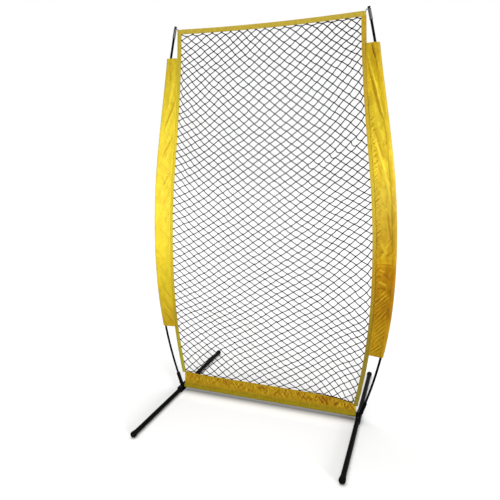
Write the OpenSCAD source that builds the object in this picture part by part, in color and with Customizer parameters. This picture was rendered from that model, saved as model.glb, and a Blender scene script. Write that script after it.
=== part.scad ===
// Portable pitching screen: a knotted net between two bowed sectional poles,
// on a steel base whose four legs fold in beside the crossbar.
// Origin: on the floor, under the middle of the crossbar.
// +X runs along the screen, +Y to its back, +Z up.

/* [Base] */
// Distance from the middle of the base to each pair of legs
leg_x = 543; // [400:1:700]
// Outer diameter of a leg tube
leg_d = 25; // [20:0.5:32]
// Outer diameter of the crossbar
bar_d = 25; // [20:0.5:32]
// Wall of the leg tubes and the crossbar
tube_wall = 1.5; // [1:0.1:2.5]
// Height of the crossbar's axis above the floor
bar_z = 30; // [28:0.5:40]
// Thickness of a rubber foot cap round its leg
cap_wall = 3.5; // [2:0.5:5]
// Length of a foot cap
cap_len = 38; // [32:1:60]
// Wall of a foot cap's skirt on the leg tube
cap_skirt = 1.4; // [1:0.1:2]
// Space between the feet of two folded legs
leg_meet_gap = 7; // [3:0.5:40]
// Space between a folded foot and the bottom band
fold_clear = 3.2; // [1:0.1:12]

/* [End brackets] */
// Thickness of the bracket's folded sheet
sheet_t = 2; // [1.5:0.1:3]
// Bracket length beyond each pivot
bracket_margin = 17; // [12:0.5:30]
// Flange width on the inner side of a pivot
flange_edge = 12; // [9:0.5:12.5]
// Corner radius of the flanges
flange_r = 8; // [2:0.5:10]
// Diameter of a pivot pin
pin_d = 8; // [6:0.5:10]
// Diameter of a pivot pin's domed head
pin_head_d = 15; // [12:0.5:18]
// Height of a pivot pin's domed head
pin_head_h = 3; // [2:0.25:5]
// Wall of the spacer bush inside each leg
bush_wall = 2; // [1:0.25:3]

/* [Pole sockets] */
// Angle of the sockets from upright
pole_lean = 18.4; // [14:0.1:23]
// Distance from a pair of legs out to the socket's axis, at the crossbar's height
socket_out = 8.2; // [5:0.1:10]
// Outer diameter of a socket
socket_d = 21.5; // [18:0.5:25]
// Length of a socket from the crossbar's axis to its mouth
socket_len = 79; // [55:1:120]

/* [Poles] */
// Outer diameter of the pole tube
pole_d = 12.4; // [10:0.1:14]
// Bore of the pole tube
pole_bore = 8; // [6:0.1:9]
// Length of each of the three pole sections
section_len = 700; // [600:5:760]
// Bend radius of the lower section
lower_bow_r = 2355; // [2100:5:2800]
// Bend radius of the middle section
middle_bow_r = 3730; // [3300:10:4500]
// Bend radius of the upper section
upper_bow_r = 8835; // [7000:5:14000]
// Length of a joining ferrule
ferrule_len = 50; // [36:1:56]
// Wall of the joining and tip ferrules
ferrule_wall = 1.2; // [0.8:0.1:1.6]
// Length of the tip ferrule
tip_len = 48; // [30:1:70]
// Diameter of the neck that holds the corner loop
neck_d = 8; // [6:0.5:9]
// Height of that neck
neck_h = 5.6; // [4.5:0.1:10]
// Diameter of the tip's rounded head
tip_head_d = 15; // [13:0.5:18]
// Height of the tip's rounded head
tip_head_h = 6.2; // [4:0.1:10]
// Diameter of the shock cord inside a pole
shock_cord_d = 3.2; // [2:0.1:4]

/* [Net] */
// Thickness of the net
net_t = 2.2; // [1.5:0.1:3]
// Width of a net strand
strand_w = 3; // [2:0.1:5]
// Meshes across the net
net_cols = 7; // [5:1:7]
// Meshes up the net
net_rows = 19; // [12:1:19]
// Sag of the rows of meshes at mid width
row_sag = 28; // [0:1:50]
// Width of net sewn in under the bindings
net_tuck = 10; // [5:0.5:14]

/* [Bindings] */
// Width of the binding tape
tape_w = 24; // [18:0.5:32]
// Thickness of the folded tape with the net inside
tape_t = 4; // [3.6:0.1:6]
// Sag of the top binding at mid width
top_sag = 9; // [0:0.5:20]
// Drop from the pole's end to the top binding's corner
corner_drop = 5; // [3:0.5:12]
// Diameter of the corner loop's cord
loop_d = 2.6; // [2:0.1:3]

/* [Bottom band] */
// Top edge of the band above the floor
band_top = 115; // [90:1:160]
// Gap between each end of the band and the bracket beside it
band_gap = 2; // [1:0.5:90]
// How much shorter each end of the band is at its top
band_taper = 5; // [0:0.5:15]
// How far the band's top edge dips at its corners
corner_dip = 10; // [0:0.5:20]
// Thickness of the band's fabric round the crossbar
band_wall = 1.2; // [0.8:0.1:2]

/* [Sleeves] */
// Distance from the net's edge to the pole at the widest place
pocket_mid = 110; // [80:1:130]
// The same distance at the top corner
pocket_top = 38; // [36:1:45]
// The same distance at the bottom corner
pocket_foot = 60; // [50:1:70]
// Height of the widest place
pocket_mid_z = 1150; // [900:10:1300]
// Distance from the band's top to the sleeve's lower end
sleeve_rise = 256; // [150:1:400]
// Distance from the top binding down to the sleeve's upper end
sleeve_drop = 145; // [80:1:300]
// Thickness of the sleeve's fabric
sleeve_wall = 1.1; // [0.8:0.1:1.6]
// Thickness of the sleeve at its seam
seam_t = 3.4; // [3:0.1:6]
// How far the pole's pocket reaches past the pole's centre
pocket_over = 12.4; // [12:0.1:18]
// Height of the fabric's main folds
fold_h = 3; // [0:0.1:4]

/* [Fits] */
// Gap between soft pieces and what they lie against
soft_gap = 0.3; // [0.2:0.05:0.6]
// Gap between a leg and the bracket round it
leg_gap = 0.3; // [0.2:0.05:1]
// Radial clearance of the pivots
pivot_gap = 0.05; // [0.02:0.01:0.1]
// Radial clearance of a pole in its ferrules
ferrule_gap = 0.2; // [0.2:0.01:0.3]
// Radial clearance of a pole in its socket
socket_gap = 0.5; // [0.4:0.05:0.8]
// Gap that a weld bridges between a socket and the crossbar
weld_gap = 0.1; // [0.05:0.05:0.3]

/* [Hidden] */
$fn = 64;

left = -1;
right = 1;
front = -1;
rear = 1;
steel_black = "#1b1b1d";
steel_grey = "#77797c";
rubber_black = "#161616";
cord_black = "#1d1d1f";
cloth_yellow = "#d6b11c";
cloth_mustard = "#bb931d";

// ---- base levels ----
past = 1;                              // how far a cutting shape reaches beyond what it cuts
foot_flat = 0.5;                       // depth of the flat under a foot cap
leg_r = leg_d / 2;
bar_r = bar_d / 2;
cap_r = leg_r + cap_wall;
leg_z = cap_r - foot_flat;
flange_low = leg_z - leg_r - leg_gap - sheet_t;
flange_high = leg_z + leg_r + leg_gap + sheet_t;
web_x = leg_x + leg_r + leg_gap;       // inner face of a bracket's web
band_r = bar_r + soft_gap + band_wall; // outside of the fabric round the crossbar
pivot_y = band_r + fold_clear + cap_r;
bracket_half = pivot_y + bracket_margin;
cap_end = leg_x - leg_meet_gap / 2;    // pivot to the far end of the foot cap
cap_skin = 9;                          // rubber beyond the tube's end
cap_crown = 1;                         // how much rounder the cap's nose is than its girth
cap_gap = 0.1;                         // clearance of a cap on its tube

module at_side(side) {
    if (side < 0) mirror([1, 0, 0]) children();
    else children();
}

module at_corner(side, end) {
    at_side(side)
        if (end < 0) mirror([0, 1, 0]) children();
        else children();
}

// local z runs towards the back of the screen
module turned_back() {
    rotate([-90, 0, 0]) children();
}

// a flat shape drawn in X and Z, with its thickness along Y
module upright(t) {
    rotate([90, 0, 0]) linear_extrude(height = t, center = true) children();
}

module ring2d(r_out, r_in) {
    difference() {
        circle(r_out, $fn = 64);
        circle(r_in, $fn = 64);
    }
}

module crossbar() {
    color(steel_black)
        translate([-web_x, 0, bar_z]) rotate([0, 90, 0])
            linear_extrude(height = 2 * web_x) ring2d(bar_r, bar_r - tube_wall);
}

// ---- end brackets: a channel round both pivots, notched for the crossbar ----
module flange_outline() {
    flange_w = web_x + sheet_t - (leg_x - flange_edge);
    translate([leg_x - flange_edge, -bracket_half])
        difference() {
            square([flange_w, 2 * bracket_half]);
            for (end = [0, 1])
                translate([0, end * 2 * bracket_half]) mirror([0, end, 0])
                    difference() {
                        translate([-past, -past]) square(flange_r + past);
                        translate([flange_r, flange_r]) circle(flange_r);
                    }
        }
}

module pin_holes(r) {
    for (end = [front, rear])
        translate([leg_x, end * pivot_y, 0]) circle(r);
}

module end_bracket(side) {
    hole_r = pin_d / 2;
    notch = bar_r + soft_gap;
    color(steel_black) at_side(side) {
        translate([0, 0, flange_low]) linear_extrude(height = sheet_t)
            difference() {
                flange_outline();
                pin_holes(hole_r);
            }
        translate([0, 0, flange_high - sheet_t]) linear_extrude(height = sheet_t)
            difference() {
                flange_outline();
                pin_holes(hole_r);
                translate([leg_x - flange_edge - past, -notch])
                    square([web_x - leg_x + flange_edge + past, 2 * notch]);
            }
        translate([web_x, 0, 0]) rotate([90, 0, 90]) linear_extrude(height = sheet_t) {
            translate([-bracket_half, flange_low]) square([2 * bracket_half, flange_high - flange_low]);
            translate([0, bar_z]) circle(bar_r);
        }
    }
}

// ---- legs ----
module folding_leg(side, end) {
    tube_len = cap_end - cap_skin;
    pivot_r = pin_d / 2 + pivot_gap;
    color(steel_black) at_corner(side, end) translate([leg_x, pivot_y, leg_z])
        difference() {
            translate([0, -leg_r, 0]) turned_back()
                linear_extrude(height = tube_len + leg_r) ring2d(leg_r, leg_r - tube_wall);
            translate([0, 0, -leg_d]) cylinder(r = pivot_r, h = 2 * leg_d);
            translate([0, 0, -leg_d]) linear_extrude(height = 2 * leg_d)
                difference() {
                    translate([-leg_d, -leg_d]) square([2 * leg_d, leg_d]);
                    circle(leg_r);
                }
        }
}

// a rubber cap: a thin skirt on the tube and a ball nose, flat where it stands
module foot_cap(side, end) {
    nose_r = cap_r + cap_crown;
    bore_r = leg_r + cap_gap;
    color(rubber_black) at_corner(side, end) translate([leg_x, pivot_y, leg_z])
        difference() {
            translate([0, cap_end - cap_len, 0]) turned_back() rotate_extrude()
                difference() {
                    intersection() {
                        square([cap_r, cap_len]);
                        union() {
                            translate([0, cap_len - nose_r]) circle(nose_r);
                            square([leg_r + cap_skirt, cap_len - nose_r]);
                        }
                    }
                    translate([-past, -past]) square([bore_r + past, cap_len - cap_skin + past]);
                }
            translate([-cap_r, cap_end - cap_len - past, -2 * cap_r])
                cube([2 * cap_r, cap_len + 2 * past, cap_r + foot_flat]);
        }
}

module pivot_pin(side, end) {
    head_r = pin_head_d / 2;
    dome_r = (head_r * head_r + pin_head_h * pin_head_h) / (2 * pin_head_h);
    color(steel_grey) at_corner(side, end) translate([leg_x, pivot_y, 0]) {
        translate([0, 0, flange_low]) cylinder(r = pin_d / 2, h = flange_high - flange_low);
        translate([0, 0, flange_high]) rotate_extrude() intersection() {
            translate([0, pin_head_h - dome_r]) circle(dome_r, $fn = 128);
            square([head_r, pin_head_h]);
        }
    }
}

module pivot_bush(side, end) {
    bush_r = pin_d / 2 + pivot_gap + bush_wall;
    wall_r = leg_r - tube_wall;
    half = sqrt(wall_r * wall_r - bush_r * bush_r) - cap_gap;
    color(steel_grey) at_corner(side, end) translate([leg_x, pivot_y, leg_z - half])
        linear_extrude(height = 2 * half) ring2d(bush_r, pin_d / 2 + pivot_gap);
}

// ---- the pole's line: one bend for each section, each [length, bend radius] ----
foot_seat = 2.7;                         // pole's foot above the crossbar, along the socket
pole_start = bar_r + foot_seat;
pole_r = pole_d / 2;
socket_x = leg_x + socket_out;
run = [[section_len, lower_bow_r], [section_len, middle_bow_r], [section_len, upper_bow_r]];

// a place on the line is [x, z, angle from upright]; the socket's axis is the chord of the
// stretch of pole that it holds
function bend_angle(e) = e[0] / e[1] * 180 / PI;
function arc_centre(p, r) = [p[0] - r * cos(p[2]), p[1] + r * sin(p[2])];
function straight_on(p, d) = [p[0] + d * sin(p[2]), p[1] + d * cos(p[2]), p[2]];
function bent_on(p, e) =
    let (c = arc_centre(p, e[1]), a = p[2] - bend_angle(e))
    [c[0] + e[1] * cos(a), c[1] - e[1] * sin(a), a];
held_half = (socket_len - pole_start) / 2;
pole_foot = straight_on([socket_x, bar_z, pole_lean], pole_start)
    + [0, 0, bend_angle([held_half, lower_bow_r])];
function place(i) = i == 0 ? pole_foot : bent_on(place(i - 1), run[i - 1]);
places = [for (i = [0:len(run)]) place(i)];
pole_end = places[len(run)];

// the line's distance from the middle at height z
function run_x(i, z) =
    let (c = arc_centre(places[i], run[i][1]))
    c[0] + sqrt(pow(run[i][1], 2) - pow(c[1] - z, 2));
function pole_x(z, i = 0) =
    i == len(run) - 1 || z <= places[i + 1][1] ? run_x(i, z) : pole_x(z, i + 1);

module at_place(p) {
    translate([p[0], 0, p[1]]) rotate([0, p[2], 0]) children();
}

// sweeps a flat shape along the line from a place, by a length and a bend radius
bend_fn = 720;
module sweep(p, e) {
    c = arc_centre(p, e[1]);
    translate([c[0], 0, c[1]]) rotate([90, 0, 0]) rotate([0, 0, -p[2]])
        rotate_extrude(angle = bend_angle(e), $fn = bend_fn) translate([e[1], 0]) children();
}

module pole_section(side, i) {
    color(steel_black) at_side(side) sweep(places[i], run[i]) ring2d(pole_r, pole_bore / 2);
}

module pole_socket(side) {
    bore_r = pole_r + socket_gap;
    color(steel_black) at_side(side) difference() {
        at_place([socket_x, bar_z, pole_lean]) linear_extrude(height = socket_len)
            ring2d(socket_d / 2, bore_r);
        translate([0, 0, bar_z]) rotate([0, 90, 0])
            cylinder(r = bar_r + weld_gap, h = 2 * leg_x);
        at_place([socket_x, bar_z, pole_lean])
            translate([-socket_d, -socket_d, -socket_d]) cube([2 * socket_d, 2 * socket_d, socket_d]);
        translate([leg_x - 3 * socket_d, -socket_d, 0]) cube([6 * socket_d, 2 * socket_d, bar_z]);
    }
}

ferrule_half = ferrule_len / 2;

module joining_ferrule(side, joint) {
    ferrule_r = pole_r + ferrule_gap + ferrule_wall;
    bead = 0.5;
    bead_len = 4;
    color(steel_grey) at_side(side) at_place(straight_on(places[joint], -ferrule_half)) {
        linear_extrude(height = ferrule_len) ring2d(ferrule_r, pole_r + ferrule_gap);
        for (z = [0, ferrule_len - bead_len])
            translate([0, 0, z]) linear_extrude(height = bead_len)
                ring2d(ferrule_r + bead, pole_r + ferrule_gap);
    }
}

tip_r = pole_r + ferrule_gap + ferrule_wall;

module tip_ferrule(side) {
    crimp = 0.5;
    crimp_len = 5;
    color(steel_grey) at_side(side) at_place(straight_on(pole_end, -tip_len)) {
        linear_extrude(height = tip_len) ring2d(tip_r, pole_r + ferrule_gap);
        linear_extrude(height = crimp_len) ring2d(tip_r + crimp, pole_r + ferrule_gap);
    }
}

// ---- tip cap: a collar on the ferrule, a neck and a rounded head ----
collar_h = 1.2;
head_z = collar_h + neck_h;
plug_h = 6;
stop_h = 10;
cord_gap = 0.05;
cord_split = 0.1;                        // parting of the shock cord at each joint of the pole

module tip_cap(side) {
    head_r = tip_head_d / 2;
    edge_r = tip_head_h / 2;
    color(rubber_black) at_side(side) at_place(pole_end) {
        cylinder(r = tip_r, h = collar_h);
        cylinder(r = neck_d / 2, h = head_z + edge_r);
        translate([0, 0, head_z]) rotate_extrude() {
            square([head_r - edge_r, tip_head_h]);
            translate([head_r - edge_r, edge_r]) circle(edge_r);
        }
        translate([0, 0, -plug_h]) cylinder(r = pole_bore / 2 - ferrule_gap, h = plug_h + collar_h / 2);
    }
}

// elastic cord through all three sections, held at both ends by a crimped stop
module shock_cord(side) {
    cord_r = shock_cord_d / 2;
    ends = [cord_split, cord_split, plug_h + soft_gap];
    color(cord_black) at_side(side) {
        for (i = [0:2])
            sweep(places[i], [run[i][0] - ends[i], run[i][1]]) circle(cord_r, $fn = 32);
        for (p = [places[0], straight_on(pole_end, -plug_h - soft_gap - stop_h)])
            at_place(p) linear_extrude(height = stop_h)
                ring2d(pole_bore / 2 - ferrule_gap, cord_r + cord_gap);
    }
}

// ---- the screen's outline, from the pole's line inwards ----
top_z = pole_end[1] - corner_drop;
slack_top = 2.7;
slack_foot = 2.5;
function eased(t, slack) = t * t * (3 - 2 * t) + slack * t * t * (t - 1);
function pocket_w(z) =
    z > pocket_mid_z
    ? pocket_mid - (pocket_mid - pocket_top) * eased((z - pocket_mid_z) / (top_z - pocket_mid_z), slack_top)
    : pocket_mid - (pocket_mid - pocket_foot) * eased((pocket_mid_z - z) / (pocket_mid_z - band_top), slack_foot);
function edge_x(z) = pole_x(z) - pocket_w(z);
top_half = edge_x(top_z);
foot_half = edge_x(band_top);
dip_start = 0.72 * foot_half;
function top_edge_z(x) = top_z - top_sag * (1 - pow(x / top_half, 2));
function net_top_z(x) = top_edge_z(min(abs(x), top_half)) - tape_w;
function net_foot_z(x) =
    band_top - corner_dip * pow(max(0, min(abs(x), foot_half) - dip_start) / (foot_half - dip_start), 2);

steps = 24;
function spread(a, b) = [for (i = [0:steps]) a + (b - a) * i / steps];
// closed outline between two heights and two sides, both sides mirrored
function net_outline(out_by, top_by, foot_by) =
    let (zs = spread(net_foot_z(foot_half) - foot_by, net_top_z(top_half) + top_by),
         xs_top = spread(edge_x(zs[steps]) + out_by, -edge_x(zs[steps]) - out_by),
         xs_foot = spread(-edge_x(zs[0]) - out_by, edge_x(zs[0]) + out_by))
    concat(
        [for (i = [1:steps - 1]) [edge_x(zs[i]) + out_by, zs[i]]],
        [for (x = xs_top) [x, net_top_z(x) + top_by]],
        [for (i = [steps - 1:-1:1]) [-edge_x(zs[i]) - out_by, zs[i]]],
        [for (x = xs_foot) [x, net_foot_z(x) - foot_by]]);

// ---- net: one flat plate whose gaps are the diamonds between the strands ----
mesh_w = 2 * edge_x(pocket_mid_z) / net_cols;
mesh_h = (top_z - band_top) / net_rows;
mesh_side = sqrt(mesh_w * mesh_w + mesh_h * mesh_h) / 2;
cut_u = 0.5 - strand_w * mesh_side / (mesh_h * mesh_w);
cut_v = 0.5 - strand_w * mesh_side / (mesh_w * mesh_h);

// a knot's place, from its count of meshes across and up
function knot(u, v) =
    let (z = band_top + (top_z - tape_w - band_top) * v / net_rows,
         side = 2 * u / net_cols - 1,
         x = edge_x(z) * side,
         low = net_foot_z(x),
         sag = row_sag * sin(180 * v / net_rows) * (1 - side * side))
    [x, low + (net_top_z(x) - low) * v / net_rows - sag];

function inside(u, lim) = min(max(u, 0), lim);
function diamond(u, v) = [
    for (c = [[-cut_u, 0], [0, -cut_v], [cut_u, 0], [0, cut_v]])
        knot(inside(u + c[0], net_cols), inside(v + c[1], net_rows))
];
// half and quarter gaps along the edges keep only the corners inside the net
function on_edge(u, v) = u == 0 || u == net_cols || v == 0 || v == net_rows;
function edge_gap(u, v) = [
    for (c = [[-cut_u, 0], [0, -cut_v], [cut_u, 0], [0, cut_v]])
        if (u + c[0] > -0.1 && u + c[0] < net_cols + 0.1 && v + c[1] > -0.1 && v + c[1] < net_rows + 0.1)
            knot(u + c[0], v + c[1])
];
function corner_gap(u, v) = [
    knot(u, v),
    knot(u == 0 ? cut_u : net_cols - cut_u, v),
    knot(u, v == 0 ? cut_v : net_rows - cut_v)
];
corners = [for (u = [0, net_cols]) for (v = [0, net_rows]) corner_gap(u, v)];
gaps = concat(
    [for (i = [0:net_cols - 1]) for (j = [0:net_rows - 1]) diamond(i + 0.5, j + 0.5)],
    [for (i = [1:net_cols - 1]) for (j = [1:net_rows - 1]) diamond(i, j)],
    [for (i = [0, net_cols]) for (j = [1:net_rows - 1]) edge_gap(i, j)],
    [for (i = [1:net_cols - 1]) for (j = [0, net_rows]) edge_gap(i, j)],
    corners);
gap_starts = [for (i = 0, n = 0; i < len(gaps); n = n + len(gaps[i]), i = i + 1) n];

module net_mesh() {
    outline = net_outline(net_tuck, net_tuck, net_tuck);
    count = len(outline);
    color(cord_black) upright(net_t)
        polygon(
            points = concat(outline, [for (g = gaps) for (p = g) p]),
            paths = concat(
                [[for (i = [0:count - 1]) i]],
                [for (k = [0:len(gaps) - 1]) [for (m = [0:len(gaps[k]) - 1]) count + gap_starts[k] + m]]));
}

// room for the net's edge inside the bindings and the band
slot_t = net_t + 2 * soft_gap;
slot_by = net_tuck + soft_gap;

module net_slot() {
    upright(slot_t) polygon(net_outline(slot_by, slot_by, slot_by));
}

module top_binding() {
    half = top_half + tape_w;
    xs = spread(-half, half);
    color(cloth_mustard) difference() {
        upright(tape_t)
            polygon(concat(
                [for (x = xs) [x, top_edge_z(min(abs(x), top_half))]],
                [for (i = [steps:-1:0]) [xs[i], net_top_z(xs[i])]]));
        net_slot();
        for (side = [left, right]) at_side(side) loop_tail(loop_r + soft_gap, soft_gap);
    }
}

module side_binding(side) {
    foot = net_foot_z(foot_half) + soft_gap;
    zs = spread(foot, net_top_z(top_half) - soft_gap);
    color(cloth_mustard) at_side(side) difference() {
        upright(tape_t)
            polygon(concat(
                [for (z = zs) [edge_x(z), z]],
                [for (i = [steps:-1:0]) [edge_x(zs[i]) + tape_w, zs[i]]]));
        net_slot();
    }
}

// the band ends short of the end brackets
band_half = leg_x - flange_edge - band_gap;

module bottom_band() {
    top_half_len = band_half - band_taper;
    xs = spread(-top_half_len, top_half_len);
    color(cloth_mustard) difference() {
        intersection() {
            translate([-band_half, 0, 0]) rotate([90, 0, 90]) linear_extrude(height = 2 * band_half)
                difference() {
                    union() {
                        translate([0, bar_z]) circle(band_r);
                        translate([-tape_t / 2, bar_z]) square([tape_t, band_top - bar_z]);
                    }
                    translate([0, bar_z]) circle(bar_r + soft_gap);
                }
            upright(4 * band_r)
                polygon(concat(
                    [[band_half, bar_z - 2 * band_r], [-band_half, bar_z - 2 * band_r]],
                    [[-band_half, bar_z + band_r]],
                    [for (x = xs) [x, net_foot_z(x)]],
                    [[band_half, bar_z + band_r]]));
        }
        net_slot();
    }
}

// ---- corner loops: elastic cord round a tip's neck, sewn into the top binding's corner ----
loop_r = loop_d / 2;
loop_slack = 2.4;                        // how far the loop hangs off its neck towards the net
loop_ring_r = neck_d / 2 + loop_r + soft_gap + loop_slack;
loop_ring_h = collar_h + soft_gap + loop_r;
tail_r = loop_r - 0.15;                  // the cord is drawn thinner between loop and binding
loop_sewn = 6;
ring_level = straight_on(pole_end, loop_ring_h);
function towards_net(d) = [ring_level[0] - d * cos(pole_end[2]), ring_level[1] + d * sin(pole_end[2]), pole_end[2]];
ring_mid = towards_net(loop_slack);
tail_start = towards_net(loop_slack + loop_ring_r);
tail_aim = [top_half + tape_w - loop_sewn, top_z - loop_sewn];
tail_dx = tail_start[0] - tail_aim[0];
tail_dz = tail_start[1] - tail_aim[1];
tail_len = norm([tail_dx, tail_dz]);

module loop_tail(r, extra = 0) {
    translate([tail_aim[0], 0, tail_aim[1]]) rotate([0, atan2(tail_dx, tail_dz), 0])
        translate([0, 0, -extra]) cylinder(r = r, h = tail_len + extra);
}

module corner_loop(side) {
    color(cord_black) at_side(side) {
        at_place(ring_mid) rotate_extrude() translate([loop_ring_r, 0]) circle(loop_r);
        loop_tail(tail_r);
    }
}

// ---- sleeves: a fabric pocket from the binding's outer edge round the pole ----
sleeve_foot = band_top + sleeve_rise;
sleeve_top = top_z - sleeve_drop;
sleeve_rings = 26;
face_steps = 7;   // points along one face, from the seam to the pole
nose_steps = 7;   // points round the pole
sleeve_ease = 1.4; // room between a joining ferrule and the sleeve
pocket_r = pole_r + ferrule_gap + ferrule_wall + sleeve_ease;
end_flare = 10;   // how much further the sleeve's top end stands off the pole

// shallow diagonal folds that fade towards the seam and the pole
function fold_y(t, u) = fold_h * pow(sin(180 * u), 2) * sin(360 * (6.5 * t + 1.2 * u)) * (0.45 + 0.55 * sin(180 * t));
// one level of the pocket, t from its foot to its top, inset from its outside
function sleeve_ring(t, inset) =
    let (z = sleeve_foot + (sleeve_top - sleeve_foot) * t,
         seam = edge_x(z) + tape_w + soft_gap + inset,
         r = pocket_r + sleeve_wall - inset,
         nose = pole_x(z) + pocket_over + end_flare * pow(t, 12) - pocket_r - sleeve_wall,
         seam_half = seam_t / 2 - inset)
    concat(
        [for (i = [0:face_steps - 1])
            let (u = i / face_steps) [seam + (nose - seam) * u, -(seam_half + (r - seam_half) * u) + fold_y(t, u), z]],
        [for (i = [0:nose_steps])
            let (a = -90 + 180 * i / nose_steps) [nose + r * cos(a), r * sin(a), z]],
        [for (i = [face_steps - 1:-1:0])
            let (u = i / face_steps) [seam + (nose - seam) * u, seam_half + (r - seam_half) * u + fold_y(t, u), z]]);
ring_count = 2 * face_steps + nose_steps + 1;

module sleeve(side) {
    ts = [for (k = [0:sleeve_rings]) k / sleeve_rings];
    last = sleeve_rings;
    inner = (last + 1) * ring_count;
    function at(skin, k, i) = skin * inner + k * ring_count + (i % ring_count);
    color(cloth_yellow) at_side(side)
        polyhedron(
            points = concat(
                [for (t = ts) each sleeve_ring(t, 0)],
                [for (t = ts) each sleeve_ring(t, sleeve_wall)]),
            faces = concat(
                [for (k = [0:last - 1]) for (i = [0:ring_count - 1]) each [
                    [at(0, k, i), at(0, k + 1, i), at(0, k + 1, i + 1)],
                    [at(0, k, i), at(0, k + 1, i + 1), at(0, k, i + 1)],
                    [at(1, k, i), at(1, k + 1, i + 1), at(1, k + 1, i)],
                    [at(1, k, i), at(1, k, i + 1), at(1, k + 1, i + 1)]]],
                [for (i = [0:ring_count - 1]) each [
                    [at(0, 0, i), at(0, 0, i + 1), at(1, 0, i + 1)],
                    [at(0, 0, i), at(1, 0, i + 1), at(1, 0, i)],
                    [at(0, last, i), at(1, last, i + 1), at(0, last, i + 1)],
                    [at(0, last, i), at(1, last, i), at(1, last, i + 1)]]]));
}

crossbar();
end_bracket(left);  // left_end_bracket
end_bracket(right);  // right_end_bracket
pole_socket(left);  // left_pole_socket
pole_socket(right);  // right_pole_socket
folding_leg(left, front);  // front_left_leg
folding_leg(right, front);  // front_right_leg
folding_leg(left, rear);  // rear_left_leg
folding_leg(right, rear);  // rear_right_leg
foot_cap(left, front);  // front_left_foot_cap
foot_cap(right, front);  // front_right_foot_cap
foot_cap(left, rear);  // rear_left_foot_cap
foot_cap(right, rear);  // rear_right_foot_cap
pivot_pin(left, front);  // front_left_pivot_pin
pivot_pin(right, front);  // front_right_pivot_pin
pivot_pin(left, rear);  // rear_left_pivot_pin
pivot_pin(right, rear);  // rear_right_pivot_pin
pivot_bush(left, front);  // front_left_pivot_bush
pivot_bush(right, front);  // front_right_pivot_bush
pivot_bush(left, rear);  // rear_left_pivot_bush
pivot_bush(right, rear);  // rear_right_pivot_bush
pole_section(left, 0);  // left_pole_lower
pole_section(right, 0);  // right_pole_lower
pole_section(left, 1);  // left_pole_middle
pole_section(right, 1);  // right_pole_middle
pole_section(left, 2);  // left_pole_upper
pole_section(right, 2);  // right_pole_upper
joining_ferrule(left, 1);  // left_lower_ferrule
joining_ferrule(right, 1);  // right_lower_ferrule
joining_ferrule(left, 2);  // left_upper_ferrule
joining_ferrule(right, 2);  // right_upper_ferrule
tip_ferrule(left);  // left_tip_ferrule
tip_ferrule(right);  // right_tip_ferrule
tip_cap(left);  // left_tip_cap
tip_cap(right);  // right_tip_cap
shock_cord(left);  // left_shock_cord
shock_cord(right);  // right_shock_cord
corner_loop(left);  // left_corner_loop
corner_loop(right);  // right_corner_loop
net_mesh();
top_binding();
side_binding(left);  // left_binding
side_binding(right);  // right_binding
bottom_band();
sleeve(left);  // left_sleeve
sleeve(right);  // right_sleeve
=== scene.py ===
"""A fold-up pitching screen: a knotted net between two bowed, sleeved poles on a black steel base."""
import functools
import math

import bpy
import numpy as np
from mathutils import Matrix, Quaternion, Vector


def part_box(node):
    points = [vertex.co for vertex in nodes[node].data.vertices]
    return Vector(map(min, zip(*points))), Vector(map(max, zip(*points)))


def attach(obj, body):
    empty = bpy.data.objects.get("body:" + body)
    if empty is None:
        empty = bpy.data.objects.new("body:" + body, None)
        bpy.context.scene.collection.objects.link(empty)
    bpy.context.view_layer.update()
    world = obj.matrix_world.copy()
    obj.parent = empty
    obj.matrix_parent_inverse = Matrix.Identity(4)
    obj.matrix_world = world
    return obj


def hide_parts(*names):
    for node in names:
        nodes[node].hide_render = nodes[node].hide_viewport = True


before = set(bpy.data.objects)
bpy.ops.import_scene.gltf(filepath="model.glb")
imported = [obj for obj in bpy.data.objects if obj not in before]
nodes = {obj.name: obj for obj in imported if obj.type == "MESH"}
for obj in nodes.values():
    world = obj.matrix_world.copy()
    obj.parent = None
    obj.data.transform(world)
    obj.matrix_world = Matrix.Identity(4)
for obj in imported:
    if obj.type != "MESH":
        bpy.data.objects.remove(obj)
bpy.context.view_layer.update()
bpy.ops.object.select_all(action="DESELECT")
MM = 0.001
SIDES = {"left": -1, "right": 1}


# ---- Viewpoint ----
# The screen is seen from chest height, from a little to its right, by a camera that looks slightly
# down at the middle of the net.
eye = Vector((0.80625, -2.47817, 1.45072))
heading = math.radians(-19.898)
tilt_down = math.radians(11.371)
roll = math.radians(-0.338)
bpy.ops.object.camera_add(location=eye)
camera = bpy.context.object
camera.name = "view_camera"
camera.data.sensor_width = 36
camera.data.lens = 34.46
ahead = Vector((
    math.sin(heading) * math.cos(tilt_down),
    math.cos(heading) * math.cos(tilt_down),
    -math.sin(tilt_down)))
camera.rotation_mode = "QUATERNION"
camera.rotation_quaternion = ahead.to_track_quat("-Z", "Y") @ Quaternion((0, 0, 1), roll)
bpy.context.scene.camera = camera


# ---- Base: crossbar, end brackets and pole sockets ----
# Round steel tube and folded sheet, welded together and then powder coated in satin black. The coat
# flows round every edge and carries a fine orange peel.
def linear(code):
    """An sRGB hex colour as linear red, green, blue and alpha."""
    parts = [int(code[i:i + 2], 16) / 255 for i in (1, 3, 5)]
    return [p / 12.92 if p <= 0.04045 else ((p + 0.055) / 1.055) ** 2.4 for p in parts] + [1.0]


def add_node(tree, kind, inputs=None, stops=None, **settings):
    """Adds a shader node with its settings, and fills or links its inputs.

    An input takes a value, a socket or a node, whose first output is linked. Stops are a ramp's.
    """
    made = tree.nodes.new("ShaderNode" + kind)
    for name, value in settings.items():
        setattr(made, name, value)
    for socket, value in (inputs or {}).items():
        if isinstance(value, bpy.types.Node):
            value = value.outputs[0]
        if isinstance(value, bpy.types.NodeSocket):
            tree.links.new(value, made.inputs[socket])
        else:
            made.inputs[socket].default_value = value
    if stops:
        elements = made.color_ramp.elements
        while len(elements) < len(stops):
            elements.new(0.5)
        for element, (place, colour) in zip(elements, stops):
            element.position = place
            element.color = linear(colour) if isinstance(colour, str) else [colour] * 3 + [1]
    return made


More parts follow.
